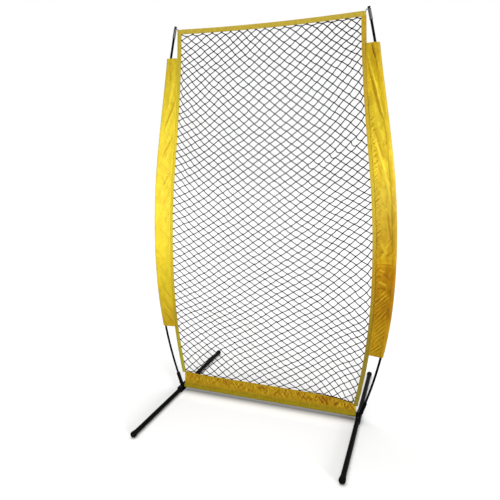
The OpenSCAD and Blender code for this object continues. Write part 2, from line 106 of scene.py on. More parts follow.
def start_tree(owner):
    """Empties the node tree of a material or a world, and gives the call that adds nodes to it."""
    owner.use_nodes = True
    owner.node_tree.nodes.clear()
    return functools.partial(add_node, owner.node_tree)


def paint(piece, material):
    """Gives the whole piece one material."""
    if not piece.material_slots:
        piece.data.materials.append(material)
    for slot in piece.material_slots:
        slot.material = material


def noise(add, where, scale, detail, **more):
    """A noise over the places given; a scale of three numbers stretches it."""
    if isinstance(scale, tuple):
        where = add("Mapping", {"Vector": where, "Scale": scale})
        scale = 1.0
    return add("TexNoise", {"Vector": where, "Scale": scale, "Detail": detail, **more})


def noisy_finish(name, spread, tones, gloss, bumps=None, **more):
    """A material whose tone follows a noise of a scale and a detail.

    Gloss is its roughness, or a ramp of it over the same noise. Bumps are the scale and the detail of
    a noise, its strength and its depth in metres. What more the shader needs comes by socket name.
    """
    material = bpy.data.materials.new(name)
    add = start_tree(material)
    where = add("TexCoord").outputs["Object"]
    cause = noise(add, where, *spread)
    more["Base Color"] = add("ValToRGB", {"Fac": cause}, stops=tones)
    more["Roughness"] = gloss
    if isinstance(gloss, list):
        more["Roughness"] = add("ValToRGB", {"Fac": cause}, stops=gloss)
    if bumps:
        scale, detail, strength, depth = bumps
        height = noise(add, where, scale, detail)
        more["Normal"] = add("Bump", {"Height": height, "Strength": strength, "Distance": depth})
    surface = add("BsdfPrincipled", more)
    add("OutputMaterial", {"Surface": surface})
    return material


# Satin powder coat: a dielectric film with a peel of about 1.5 mm, duller where it is dusty.
dark_gloss = {"Specular IOR Level": 0.02}  # keeps the black pieces black in the white surround
powder_coat = noisy_finish(
    "satin_black_powder_coat", (22.0, 5.0), [(0.3, "#040405"), (0.75, "#09090a")],
    [(0.3, 0.36), (0.8, 0.52)], (650.0, 2.0, 0.35, 0.0002), **dark_gloss)

paint(nodes["crossbar"], powder_coat)
for side in SIDES:
    paint(nodes[f"{side}_end_bracket"], powder_coat)
    paint(nodes[f"{side}_pole_socket"], powder_coat)


# ---- Weld beads ----
# The crossbar is welded into the notch and against the web of each end bracket, and each socket is
# welded round its foot, with the ripples of a hand-fed bead.
def places(mesh):
    """The places of a mesh's corners as an array."""
    return np.array([v.co for v in mesh.vertices])


def run_along(points):
    """How far along a line each of its points lies."""
    return np.concatenate([[0], np.linalg.norm(np.diff(points, axis=0), axis=1).cumsum()])


def sweep(points, radius, sides, closed=False):
    """Corners, faces and face UVs of a tube along the points; u runs round it, v along it, in metres."""
    points = np.asarray(points, float)
    count = len(points)
    radius = np.broadcast_to(np.asarray(radius, float), (count,))
    step = np.roll(points, -1, 0) - np.roll(points, 1, 0) if closed else np.gradient(points, axis=0)
    step /= np.linalg.norm(step, axis=1)[:, None]
    spoke = np.cross(step[0], (0.0, 1.0, 0.0))
    if np.linalg.norm(spoke) < 0.1:
        spoke = np.cross(step[0], (1.0, 0.0, 0.0))
    spokes = np.empty((count, 3))
    for i in range(count):
        spoke = spoke - step[i] * (spoke @ step[i])
        spoke /= np.linalg.norm(spoke)
        spokes[i] = spoke
    turned = np.cross(step, spokes)
    turn = 2 * math.pi * np.arange(sides) / sides
    ring = np.cos(turn)[None, :, None] * spokes[:, None] + np.sin(turn)[None, :, None] * turned[:, None]
    corners = (points[:, None] + radius[:, None, None] * ring).reshape(-1, 3)
    along = run_along(points)
    girth = 2 * math.pi * radius.mean()
    faces, uvs = [], []
    for i in range(count if closed else count - 1):
        j = (i + 1) % count
        far = along[-1] * 2 - along[-2] if j == 0 else along[j]
        for k in range(sides):
            m = (k + 1) % sides
            faces.append((i * sides + k, i * sides + m, j * sides + m, j * sides + k))
            near_u, far_u = girth * k / sides, girth * (k + 1) / sides
            uvs += [(near_u, along[i]), (far_u, along[i]), (far_u, far), (near_u, far)]
    if not closed:
        faces.append(tuple(range(sides - 1, -1, -1)))
        faces.append(tuple(range((count - 1) * sides, count * sides)))
        uvs += [(0.0, 0.0)] * (2 * sides)
    return corners, faces, uvs


def make_piece(name, parts):
    """One mesh object from several swept or gridded parts, smooth shaded, with its UV map."""
    corners, faces, uvs, count = [], [], [], 0
    for part_corners, part_faces, part_uvs in parts:
        corners.append(part_corners)
        faces += [tuple(count + i for i in face) for face in part_faces]
        uvs += part_uvs
        count += len(part_corners)
    mesh = bpy.data.meshes.new(name)
    mesh.from_pydata(np.concatenate(corners).tolist(), [], faces)
    mesh.uv_layers.new(name="UVMap").data.foreach_set("uv", np.asarray(uvs, float).ravel())
    mesh.polygons.foreach_set("use_smooth", [True] * len(faces))
    mesh.update()
    piece = bpy.data.objects.new(name, mesh)
    bpy.context.scene.collection.objects.link(piece)
    return piece


weld_radius = 1.9 * MM
weld_ripple = 2.2 * MM
bar_low, bar_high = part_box("crossbar")
bar_z = (bar_low.z + bar_high.z) / 2
bar_r = (bar_high.z - bar_low.z) / 2
flange_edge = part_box("right_end_bracket")[0].x
web_x = bar_high.x


def on_base(piece, material):
    """Paints a piece and lets it ride on the base."""
    paint(piece, material)
    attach(piece, "base")


def weld(name, points, closed=False):
    """A bead along the points that swells with each ripple of the weld."""
    points = np.asarray(points)
    steps = np.linalg.norm(np.diff(points, axis=0, append=points[:1]), axis=1).cumsum()
    swell = 1 + 0.14 * np.sin(2 * math.pi * steps / weld_ripple)
    on_base(make_piece(name, [sweep(points, weld_radius * swell, 8, closed)]), powder_coat)


ripple_step = 0.7 * MM  # between two rings of a bead
seat = bar_r + 0.6 * MM
for side, sign in SIDES.items():
    run = np.arange(flange_edge + 2 * MM, web_x - 3 * MM, ripple_step)
    bead = [(x, -seat, bar_z + 0.5 * MM) for x in run]
    turns = np.radians(np.arange(-178, 0, 3.0))
    bead += [(web_x - 1.0 * MM, seat * math.cos(a), bar_z - seat * math.sin(a)) for a in turns]
    run = np.arange(web_x - 3 * MM, flange_edge + 2 * MM, -ripple_step)
    bead += [(x, seat, bar_z + 0.5 * MM) for x in run]
    weld(f"{side}_bracket_weld", [(sign * x, y, z) for x, y, z in bead])
    socket = places(nodes[f"{side}_pole_socket"].data)
    foot = socket[np.abs(np.hypot(socket[:, 1], socket[:, 2] - bar_z) - bar_r) < 0.4 * MM]
    middle = foot.mean(0)
    spread = np.hypot(foot[:, 0] - middle[0], foot[:, 1])
    rim = foot[spread > spread.max() - 1.6 * MM]
    angle = np.arctan2(rim[:, 1], rim[:, 0] - middle[0])
    even = np.linspace(-math.pi, math.pi, 120, endpoint=False)
    ring = np.stack([np.interp(even, angle, rim[:, c], period=2 * math.pi) for c in range(3)], 1)
    weld(f"{side}_socket_weld", ring, closed=True)


# ---- Legs with their foot caps ----
# Four lengths of the same coated tube. Each turns on a riveted, blackened steel pin with a spacer bush,
# and ends in a matt black rubber cap.

# Moulded rubber: a soft, nearly closed gloss with scuffs where it rubs on the ground.
rubber = noisy_finish(
    "moulded_black_rubber", (70.0, 6.0), [(0.4, "#060606"), (0.8, "#161615")], 0.62,
    (900.0, 2.0, 0.4, 0.0002), **dark_gloss)

# Black oxide on turned steel: a dark metal with a faint bluish grain.
black_oxide = noisy_finish(
    "black_oxide_steel", (500.0, 4.0), [(0.3, "#16171a"), (0.7, "#26272b")],
    [(0.2, 0.3), (0.8, 0.45)], Metallic=1.0)

for side in SIDES:
    for end in ("front", "rear"):
        paint(nodes[f"{end}_{side}_leg"], powder_coat)
        paint(nodes[f"{end}_{side}_foot_cap"], rubber)
        paint(nodes[f"{end}_{side}_pivot_pin"], black_oxide)
        paint(nodes[f"{end}_{side}_pivot_bush"], black_oxide)


# ---- Sectional poles ----
# Three pultruded glass-fibre tubes a side, black right through, joined by steel ferrules over an elastic
# cord. Each top end has a brushed ferrule and a black rubber cap that holds the net's corner.

# Pultruded glass fibre: a dull black with fine streaks along its length.
drawn = (900.0, 900.0, 14.0)  # fibres that run along the pole
pole_black = noisy_finish(
    "pultruded_black_glass_fibre", (drawn, 3.0), [(0.3, "#050506"), (0.7, "#0e0e10")], 0.4,
    (drawn, 3.0, 0.3, 0.0002), **dark_gloss)

# Brushed steel: fine rings round the tube from the polishing belt.
rings = (40.0, 40.0, 2500.0)
brushed = noisy_finish(
    "brushed_steel_ferrule", (rings, 4.0), [(0.3, "#3a3b3e"), (0.7, "#5a5b5f")],
    [(0.2, 0.32), (0.8, 0.5)], (rings, 4.0, 0.25, 0.0001), Metallic=1.0)

for side in SIDES:
    for part in ("lower", "middle", "upper"):
        paint(nodes[f"{side}_pole_{part}"], pole_black)
    for part in ("lower", "upper", "tip"):
        paint(nodes[f"{side}_{part}_ferrule"], brushed)
    paint(nodes[f"{side}_tip_cap"], rubber)
    paint(nodes[f"{side}_shock_cord"], rubber)


# ---- Net ----
# Black polyester twine knotted into diamonds. Its rows hang in a shallow sag between the poles, and its
# edge meshes are sewn in under the bindings and the bottom band.
def outline(name, along, across, face_y):
    """Levels of a flat CAD node with the least and the most it measures across at each of them."""
    corners = places(nodes[name].data)
    corners = corners[np.abs(np.abs(corners[:, 1]) - face_y) < 0.05 * MM] if face_y else corners
    level = np.round(corners[:, along], 4)
    levels = np.unique(level)
    low = np.array([corners[level == k, across].min() for k in levels])
    high = np.array([corners[level == k, across].max() for k in levels])
    return levels, low, high


def through(levels, values):
    """A smooth line through measured levels."""
    slopes = np.gradient(values, levels)

    def line(at):
        i = np.clip(np.searchsorted(levels, at) - 1, 0, len(levels) - 2)
        step = levels[i + 1] - levels[i]
        t = (at - levels[i]) / step
        rise = values[i + 1] - values[i]
        a, b = slopes[i] * step - rise, rise - slopes[i + 1] * step
        return values[i] + t * rise + t * (1 - t) * (a * (1 - t) + b * t)
    return line


tape_half = 2 * MM  # half the thickness of a binding, as its CAD node has it
levels, inner, outer = outline("right_binding", 2, 0, tape_half)
edge = through(levels, inner)
tape_w = float(np.median(outer - inner))
binding_foot, binding_top = levels[0], levels[-1]
levels, low, high = outline("top_binding", 0, 2, tape_half)
top_low, top_high = through(levels, low), through(levels, high)
levels, low, high = outline("bottom_band", 0, 2, tape_half)
level = high > 0.9 * high.max()
cad_band_top, cad_band_end = through(levels[level], high[level]), levels[level][-1]
band_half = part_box("bottom_band")[1].x
dip_from, dip_depth = 0.30, 17 * MM  # where the band's right end starts to drop, and by how much
rise_from, rise_height = -0.40, 20 * MM  # where its left end starts to rise, and by how much


def band_top(x):
    """Top edge of the bottom band, which drops to the right corner and rises to the left one."""
    x = np.asarray(x, float)
    drop = np.clip((x - dip_from) / (band_half - dip_from), 0, 1) ** 1.6 * dip_depth
    rise = np.clip((rise_from - x) / (band_half + rise_from), 0, 1) ** 1.5 * rise_height
    return cad_band_top(np.clip(x, -cad_band_end, cad_band_end)) - drop + rise


half_across, half_up = 37, 93  # half meshes over the width and the height
twine_r, knot_twine_r = 2.4 * MM, 1.9 * MM
jitter = np.array([1.1, 0.6, 1.1]) * MM  # how far a knot strays from its row
edge_gap = 3.2 * MM  # from the row of edge knots to the binding
draw = np.random.default_rng(7)

# how far the rows hang off their even places, in mm: nine heights from foot to head, and at each of them
# five places from the left edge to the right one
DRIFT = [
    [4, -3, 7, 29, -3], [-6, 0, 18, 33, 4], [0, 13, 22, 34, 9], [9, 12, 14, 30, 9], [10, 13, 6, 9, 0],
    [14, 5, 7, 12, -1], [4, 1, 10, 25, 4], [-5, -10, 6, 16, 1], [6, 28, 9, 26, 5]]
RISE = [
    [-19, -15, -6, -18, -40], [11, 9, -7, -6, -3], [7, -8, -7, -10, -1], [18, -5, -17, -7, 48],
    [37, 1, -15, -10, 53], [58, 13, -7, -8, 31], [56, 15, -2, 1, 42], [46, 25, 11, 20, 60],
    [11, 8, 8, 16, 13]]


def between(table, row, column):
    """A smooth surface through a table, at shares from 0 to 1 of its rows and its columns."""
    wide = np.pad(np.array(table, float), 1, mode="reflect", reflect_type="odd")
    weights = []
    for share, count in ((row, len(table)), (column, len(table[0]))):
        at = share * (count - 1)
        i = np.clip(np.floor(at).astype(int), 0, count - 2)
        t = at - i
        weights.append((i, [(2 - t) * t * (t - 1) / 2, (t * t * (3 * t - 5) + 2) / 2,
                            (1 + (4 - 3 * t) * t) * t / 2, (t - 1) * t * t / 2]))
    (i, rows), (j, columns) = weights
    return sum(rows[k] * columns[m] * wide[i + k, j + m] for k in range(4) for m in range(4))


a, b = np.meshgrid(np.arange(half_across + 1), np.arange(half_up + 1), indexing="ij")
share = b / half_up
across = 2 * a / half_across - 1
even_z = band_top(0.0) + (top_low(0.0) - band_top(0.0)) * share
knot_x = (edge(even_z) - edge_gap) * across
foot_z = band_top(knot_x) + edge_gap
knot_z = foot_z + (top_low(knot_x) - edge_gap - foot_z) * share
knot_x += between(DRIFT, share, a / half_across) * MM
knot_z += between(RISE, share, a / half_across) * MM
side_edge = edge(knot_z) - edge_gap
knot_x = np.clip(knot_x, -side_edge, side_edge)
knot_x = np.where(a == 0, -side_edge, np.where(a == half_across, side_edge, knot_x))
top_edge = top_low(knot_x) - edge_gap
knot_z = np.where(b == half_up, top_edge, np.minimum(knot_z, top_edge))
knot_z = np.maximum(knot_z, band_top(knot_x) + edge_gap)
inside = (b > 0) & (b < half_up) & (a > 0) & (a < half_across)
knots = np.stack([knot_x, np.zeros_like(knot_x), knot_z], -1)
knots += draw.normal(0, 1, knots.shape) * jitter * inside[..., None]

# a slack crease runs up to the right edge, where the strands that cross it hang in small loops
slack_from, slack_to = np.array([0.24, 1.37]), np.array([0.52, 1.53])
slack_way = (slack_to - slack_from) / np.linalg.norm(slack_to - slack_from)
slack_long, slack_half = 0.34, 22 * MM  # how long the crease is, and half how wide
tuck, tucked_r = 7 * MM, 0.9 * MM  # the ends are pressed flat under the tape
strands = []
for rise, first_row in ((1, 0), (-1, half_up)):
    starts = [(0, k) for k in range(1, half_up + 1, 2)]
    starts += [(k, first_row) for k in range(1, half_across) if (k + first_row) % 2]
    for i, j in starts:
        line = []
        while 0 <= i <= half_across and 0 <= j <= half_up:
            line.append(knots[i, j])
            i += 1
            j += rise
        if len(line) < 2:
            continue
        line = np.array(line)
        first = line[0] + (line[0] - line[1]) / np.linalg.norm(line[0] - line[1]) * tuck
        last = line[-1] + (line[-1] - line[-2]) / np.linalg.norm(line[-1] - line[-2]) * tuck
        points = [first]
        for near, far in zip(line[:-1], line[1:]):
            bend = draw.normal(0, 1.0 * MM, 3) + np.array([0, 0, -0.8 * MM])
            if rise < 0:
                gap = ((near + far) / 2)[[0, 2]] - slack_from
                reach = gap @ slack_way
                off = abs(gap[0] * slack_way[1] - gap[1] * slack_way[0])
                if 0 < reach < slack_long and off < slack_half:
                    bend += np.array([-5, 1, -9]) * MM * (1 - off / slack_half)
            points += [near, near + (far - near) / 3 + bend, near + (far - near) * 2 / 3 + bend]
        points += [line[-1], last]
        strands.append(sweep(points, [tucked_r] + [twine_r] * (len(points) - 2) + [tucked_r], 6))
net_twine = make_piece("net_twine", strands)


def bight(middle, wide, high, lean, pitch):
    """A small ring of twine, one of the two bights of a knot."""
    turn = 2 * math.pi * np.arange(6) / 6
    ring = np.stack([wide * np.cos(turn), pitch * np.cos(turn), high * np.sin(turn)], 1)
    c, s = math.cos(lean), math.sin(lean)
    ring = ring @ np.array([[c, s, 0], [-s, c, 0], [0, 0, 1]])
    return sweep(ring + middle, knot_twine_r, 4, closed=True)


one_knot = [
    bight(np.array([0, 0, 0.7]) * MM, 3.0 * MM, 2.0 * MM, math.radians(14), 1.2 * MM),
    bight(np.array([0, 0, -0.7]) * MM, 2.4 * MM, 2.3 * MM, math.radians(78), 0.6 * MM)]
knot_parts = []
for i in range(half_across + 1):
    for j in range((i + 1) % 2, half_up + 1, 2):
        turn = draw.normal(0, 0.35)
        c, s = math.cos(turn), math.sin(turn)
        tumble = np.array([[c, 0, s], [0, 1, 0], [-s, 0, c]])
        for corners, faces, uvs in one_knot:
            knot_parts.append((corners @ tumble + knots[i, j], faces, uvs))
net_knots = make_piece("net_knots", knot_parts)

# a thicker cord rounds off the net's lower right corner, from the band's top edge up to the binding
cord_from, corner_at = 0.36, 0.47  # x where the cord starts, and about where it turns upward
corner_r, closing_r = 22 * MM, 1.9 * MM
corner_x = float(edge(band_top(corner_at))) - edge_gap
run = np.arange(cord_from, corner_x - corner_r, 6 * MM)
rope = [(x, 0.0, float(band_top(x)) + 2.2 * MM) for x in run]
turn_z = rope[-1][2] + corner_r
for turn in np.radians(np.arange(-84, 1, 12)):
    rope.append((corner_x - corner_r + corner_r * math.cos(turn), 0.0, turn_z + corner_r * math.sin(turn)))
rope.append((float(edge(turn_z + 14 * MM)) + 2 * MM, 0.0, turn_z + 14 * MM))
closing_cord = make_piece("closing_cord", [sweep(rope, closing_r, 10)])


def waves_every(period):
    """The scale at which a wave texture repeats after a length in metres."""
    return 2 * math.pi / (20 * period)


# Twisted multifilament twine: the strands' lay shows as slanting ridges, drawn at 2 mm.
twine = bpy.data.materials.new("twisted_black_polyester_twine")
add = start_tree(twine)
where = add("TexCoord").outputs["UV"]
slant = add("Mapping", {"Vector": where, "Rotation": (0, 0, math.radians(35))})
lay = add("TexWave", {"Vector": slant, "Scale": waves_every(2 * MM)}, bands_direction="Y")
fuzz = noise(add, where, 300.0, 3.0)
tone = add("ValToRGB", {"Fac": fuzz}, stops=[(0.3, "#050506"), (0.75, "#0f0f11")])
dent = add("Bump", {"Height": lay.outputs["Fac"], "Strength": 0.8, "Distance": 0.0004})
shader = add("BsdfPrincipled", {
    "Base Color": tone, "Roughness": 0.75, "Sheen Weight": 0.04, "Sheen Roughness": 0.4,
    "Normal": dent, **dark_gloss})
add("OutputMaterial", {"Surface": shader})
for piece in (net_twine, net_knots, closing_cord):
    on_base(piece, twine)
    piece.visible_shadow = False  # the shadow of so fine a net doesn't show on the floor
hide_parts("net_mesh")


# ---- Bindings ----
# Folded tape of coated nylon, sewn over the net's edge with two rows of lockstitch. The net draws it in,
# so it puckers between the rows.
def cloth(name, grid, across, along, wall, relief=0.0, held=(), keep_out=None):
    """A woven sheet on a grid of points, rows by columns, with its flat place in metres as UV.

    Across holds the flat places of its columns and along those of its rows. Relief says how far each point
    stands out or lies back, and the nylon paints shade into its creases and a highlight onto its ridges from
    it. Held points stay where they are while the rest settles. Gives the piece and the settled grid.
    """
    rows, columns = grid.shape[:2]
    index = np.arange(rows * columns).reshape(rows, columns)
    quads = np.stack([index[:-1, :-1], index[:-1, 1:], index[1:, 1:], index[1:, :-1]], -1).reshape(-1, 4)
    uvs = np.stack(np.meshgrid(across, along), -1).reshape(-1, 2)[quads.ravel()]
    piece = make_piece(name, [(grid.reshape(-1, 3), quads.tolist(), uvs.tolist())])
    marks = piece.data.attributes.new("relief", "FLOAT", "POINT")
    relief = np.array(np.broadcast_to(relief, (rows, columns)), float)
    marks.data.foreach_set("value", relief.ravel())
    if len(held):
        settle(piece, held, keep_out)
    settled = places(piece.data).reshape(rows, columns, 3)
    finish_with(piece, "SOLIDIFY", thickness=wall, offset=-1)
    return piece, settled


def settle(piece, held, keep_out, grow=0.03, frames=24, reach=3 * MM):
    """Lets the cloth buckle where it has slack, and keeps the result within a short reach."""
    group = piece.vertex_groups.new(name="held")
    group.add(held, 1.0, "REPLACE")
    before = places(piece.data)
    modifier = piece.modifiers.new("settling", "CLOTH")
    for name, value in {
            "vertex_group_mass": "held", "quality": 6, "mass": 0.12, "tension_stiffness": 25,
            "compression_stiffness": 25, "shear_stiffness": 12, "bending_stiffness": 0.35,
            "shrink_min": -grow}.items():
        setattr(modifier.settings, name, value)
    modifier.settings.effector_weights.gravity = 0
    modifier.point_cache.frame_end = frames
    scene = bpy.context.scene
    for frame_number in range(1, frames + 1):
        scene.frame_set(frame_number)
    shape = piece.evaluated_get(bpy.context.evaluated_depsgraph_get()).data
    moved = places(shape) - before
    length = np.linalg.norm(moved, axis=1)
    moved *= (reach * np.tanh(length / reach) / np.maximum(length, 1e-9))[:, None]
    after = keep_out(before + moved, before)
    piece.modifiers.remove(modifier)
    piece.vertex_groups.remove(group)
    piece.data.vertices.foreach_set("co", after.ravel())
    piece.data.update()
    scene.frame_set(1)


def finish_with(piece, kind, **settings):
    """Adds one modifier to the piece and applies it."""
    modifier = piece.modifiers.new(kind.lower(), kind)
    for name, value in settings.items():
        setattr(modifier, name, value)
    bpy.context.view_layer.objects.active = piece
    bpy.ops.object.modifier_apply(modifier=modifier.name)


def ripples(along, across, seed, waves, lean):
    """Uneven puckers between -1 and 1: sines of several lengths whose crests lean and come and go."""
    draw = np.random.default_rng(seed)
    total = 0.0
    for wave in waves:
        slant = draw.uniform(-lean, lean)
        first, second = draw.uniform(0, 2 * math.pi, 2)
        beat = 0.6 + 0.4 * np.sin(2 * math.pi * along / (wave * draw.uniform(4, 9)) + second)
        total = total + np.sin(2 * math.pi * (along + slant * across) / wave + first) * beat
    return total / len(waves)


def bump(at, middle, width):
    """A soft step up and down again, 1 at the middle."""
    return np.exp(-((at - middle) / width) ** 2)


stitch_step = 4 * MM
thread_r = 0.35 * MM
tape_lift, cloth_lift = 0.15 * MM, 0.3 * MM  # from the face to a thread's middle


def stitches(name, lines, lift):
    """Lockstitch rows: one short thread for each step along each line, lifted off the cloth."""
    parts = []
    for line in lines:
        line = line + np.copysign(lift, line) * (0, 1, 0)
        run = run_along(line)
        for start in np.arange(stitch_step, run[-1] - stitch_step, stitch_step):
            at = start + np.array([0, 0.12, 0.58, 0.7]) * stitch_step
            points = np.stack([np.interp(at, run, line[:, c]) for c in range(3)], 1)
            parts.append(sweep(points, np.array([0.3, 1, 1, 0.3]) * thread_r, 4))
    return make_piece(name, parts)


tape_layer = 0.5 * MM
seam_in = 3 * MM  # from each edge of the tape to its row of stitches
face = np.concatenate([[0, 1.2 * MM], np.linspace(seam_in, tape_w - seam_in, 9), [tape_w - 1.3 * MM]])


def folded_tape(along, seed, half, pinch_at=()):
    """Across and outward places of a folded tape, from its front edge round the fold to its back edge."""
    along = along[:, None]
    nearby = sum(bump(face, at, 1.6 * MM) for at in (seam_in, tape_w - seam_in))
    body = np.sin(math.pi * face / tape_w)
    layers = []
    for k in (0, 1):
        pucker = ripples(along, face, seed + k, [9 * MM, 14 * MM, 23 * MM], 0.9)
        layers.append(half - 0.45 * MM * nearby + 0.55 * MM * pucker * body + 0.15 * MM * body)
    each_row = np.ones_like(along)
    closing = each_row
    for end in pinch_at:
        closing = closing * (1 - 0.75 * bump(along, end, 3 * MM))
    wobble = 0.7 * MM * ripples(along, 0, seed + 5, [31 * MM, 58 * MM], 0)
    turn = np.radians([-60, -20, 20, 60])
    across = np.concatenate([
        face + wobble * (1 - face / tape_w),
        (tape_w - half + half * np.cos(turn)) * each_row,
        face[::-1] * each_row], 1)
    out = np.concatenate([
        -layers[0] * closing, half * np.sin(turn) * closing, layers[1][:, ::-1] * closing], 1)
    return across, out


row_step = 4 * MM
columns = len(face)
stitched = (2, columns - 2, columns + 5, -3)  # the columns on the seams, in front and at the back
over_end = 9 * MM  # how far a side tape runs on under the band and at the top
bindings = {}
for side, sign in SIDES.items():
    foot = float(band_top(sign * (edge(binding_foot) + tape_w / 2))) - over_end
    z = np.arange(foot, binding_top + over_end, row_step)
    across, out = folded_tape(z, 11 * sign + 40, 1.75 * MM)
    grid = np.stack([sign * (edge(z)[:, None] + across), out, np.broadcast_to(z[:, None], out.shape)], -1)
    flat = np.linspace(0, 2 * tape_w, grid.shape[1])
    piece, _ = cloth(f"{side}_binding_tape", grid[:, ::sign], flat, z, tape_layer)
    thread = stitches(f"{side}_binding_stitches", [grid[:, c] for c in stitched], tape_lift)
    bindings[side] = (piece, thread, z[-1] - z[0])

top_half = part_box("top_binding")[1].x
x = np.arange(-top_half, top_half + row_step / 2, row_step)
across, out = folded_tape(x, 90, 2.35 * MM, pinch_at=(-top_half, top_half))
low, wide = top_low(x)[:, None], (top_high(x) - top_low(x))[:, None]
grid = np.stack([np.broadcast_to(x[:, None], out.shape), -out, low + across * wide / tape_w], -1)
flat = np.linspace(0, 2 * tape_w, grid.shape[1])
top_tape, _ = cloth("top_binding_tape", grid, flat, x, tape_layer)
lines = [np.stack([x, -out[:, c], low[:, 0] + across[:, c]], 1) for c in stitched]
bindings["top"] = (top_tape, stitches("top_binding_stitches", lines, tape_lift), x[-1] - x[0])


# Coated nylon oxford: a plain weave with a soft sheen that lets a little light through. The real threads
# lie 0.4 mm apart and are drawn at 1.6 mm so that they show.
def woven(name, colours, low, high, crease, ridge, crease_size, crease_share):
    """A nylon whose tone runs through the colours from one height to another, with painted shade in its
    creases and a painted highlight on its ridges.
    """
    material = bpy.data.materials.new(name)
    add = start_tree(material)
    coordinates = add("TexCoord")
    where, flat = coordinates.outputs["Object"], coordinates.outputs["UV"]
    height = add("SeparateXYZ", {"Vector": where}).outputs["Z"]
    blotch = noise(add, where, 26.0, 5.0, Roughness=0.6)
    shift = add("Math", {0: blotch, 1: 0.05 * (high - low), 2: height}, operation="MULTIPLY_ADD")
    place = add("MapRange", {"Value": shift, "From Min": low, "From Max": high})
    colour = add("ValToRGB", {"Fac": place}, stops=colours)
    # painted shade: the hollows of this crease noise, which also dents the cloth, take the crease colour
    creases = noise(add, where, crease_size, 3.0, Roughness=0.55, Distortion=0.3)
    faint = add("MapRange", {
        "Value": creases, "From Min": 0.54, "From Max": 0.40, "To Max": crease_share})
    # painted shade where the relief lies back, and a painted highlight where it stands out
    relief = add("Attribute", attribute_name="relief").outputs["Fac"]
    sunk = add("MapRange", {"Value": relief, "From Min": -0.2 * MM, "From Max": -2.6 * MM})
    raised = add("MapRange", {"Value": relief, "From Min": 0.4 * MM, "From Max": 3.0 * MM})
    hollow = add("Math", {0: faint, 1: sunk}, operation="MAXIMUM")
    for blend, share, code in (("MULTIPLY", hollow, crease), ("SCREEN", raised, ridge)):
        colour = add("Mix", {"Factor": share, "A": colour, "B": linear(code)},
                          data_type="RGBA", blend_type=blend).outputs[2]
    waves = {"Vector": flat, "Scale": waves_every(1.6 * MM)}
    warp, weft = (add("TexWave", waves, bands_direction=way).outputs["Fac"] for way in ("X", "Y"))
    weave = add("Math", {0: warp, 1: weft}, operation="MAXIMUM")
    crushed = add("Bump", {"Height": creases, "Strength": 0.8, "Distance": 0.003})
    dent = add("Bump", {
        "Height": weave, "Strength": 0.25, "Distance": 0.0002, "Normal": crushed})
    surface = add("BsdfPrincipled", {
        "Base Color": colour, "Roughness": 0.45, "Specular IOR Level": 0.08,
        "Sheen Weight": 0.02, "Sheen Roughness": 0.35, "Normal": dent})
    through_light = add("BsdfTranslucent", {"Color": colour, "Normal": dent})
    both = add("MixShader", {0: 0.15, 1: surface, 2: through_light})
    add("OutputMaterial", {"Surface": both})
    return material


# Bonded polyester thread, dyed to match.
thread_yellow = noisy_finish(
    "matching_polyester_thread", (400.0, 2.0), [(0.3, "#a8861c"), (0.7, "#d1ad33")], 0.5)

# one tape, toned lighter and darker over its height and differently on each side and at the top: painted
# light and shade
TAPE_TONES = {
    "left": [(0.05, "#959227"), (0.125, "#9d9429"), (0.2, "#99841b"), (0.275, "#af9822"), (0.4, "#c9b12f"),
             (0.5, "#cfbd32"), (0.75, "#d7c134"), (0.85, "#c0b235"), (1.0, "#aa9b36")],
    "right": [(0.05, "#837627"), (0.2, "#867320"), (0.275, "#977e1c"), (0.4, "#af8d21"), (0.5, "#c0a432"),
              (0.625, "#cdb433"), (0.75, "#c8ad2e"), (0.85, "#ba9b2f"), (0.95, "#ab8e2c"), (1.0, "#b5951e")],
    "top": [(0.0, "#aa9b36"), (1.0, "#b5a03a")],
}
for place, (piece, thread, length) in bindings.items():
    # painted shade in the hollows of its crease noise
    tape = woven(f"{place}_mustard_nylon_tape", TAPE_TONES[place], 0.1, 2.1, "#a8803c", "#3a3208",
                 (90.0, 90.0, 90.0), 0.2)
    on_base(piece, tape)
    on_base(thread, thread_yellow)
    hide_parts(f"{place}_binding")


# ---- Bottom band ----
# A wide band of the same nylon, doubled round the crossbar and sewn together just above it. Its flat part
# is gathered on the net's foot and lies in crumples, and the pocket round the bar is smooth.
bar_seam = bar_z + 20 * MM  # the height of the seam over the bar
seam_half = 1.5 * MM
flat_half = 2 * MM  # half the band's thickness where it lies flat
pocket_r = bar_r + 1.5 * MM
touch = math.acos(pocket_r / (bar_seam - bar_z))
taper = 5 * MM  # how much shorter the band is at its top edge, at each end
band_step = 2.4 * MM
crumple_count = 560
cloth_layer = 0.6 * MM
x = np.arange(-band_half, band_half + band_step / 2, band_step)
rows_x = x[:, None]
flat_columns = 32
flat_steps = np.linspace(0, 1, flat_columns)
round_steps = np.linspace(touch, 2 * math.pi - touch, 22)
lean_steps = np.linspace(0, 1, 6)[1:-1]
top_z = band_top(rows_x)
front_z = top_z + (bar_seam - top_z) * flat_steps


def crumples(x, z, seed):
    """Heights of short straight creases and ridges that lie over the band at all angles, in metres."""
    draw = np.random.default_rng(seed)
    total = np.zeros(np.broadcast(x, z).shape)
    for _ in range(crumple_count):
        at_x = band_half * (1 - 2 * draw.uniform() ** 1.35)
        at_z = draw.uniform(bar_seam + 4 * MM, cad_band_top(0.0) - 4 * MM)
        angle = math.radians(draw.uniform(40, 80)) * draw.choice([-1, 1])
        half, wide = draw.uniform(12, 34) * MM, draw.uniform(2.1, 3.4) * MM
        tall = draw.uniform(1.3, 3.2) * MM * draw.choice([-1, 1])
        along = ((x - at_x) * math.cos(angle) + (z - at_z) * math.sin(angle)) / half
        off = (x - at_x) * math.sin(angle) - (z - at_z) * math.cos(angle)
        total += tall * np.exp(-(off / wide) ** 2) * np.clip(1.4 - np.abs(along) * 1.4, 0, 1)
    return total


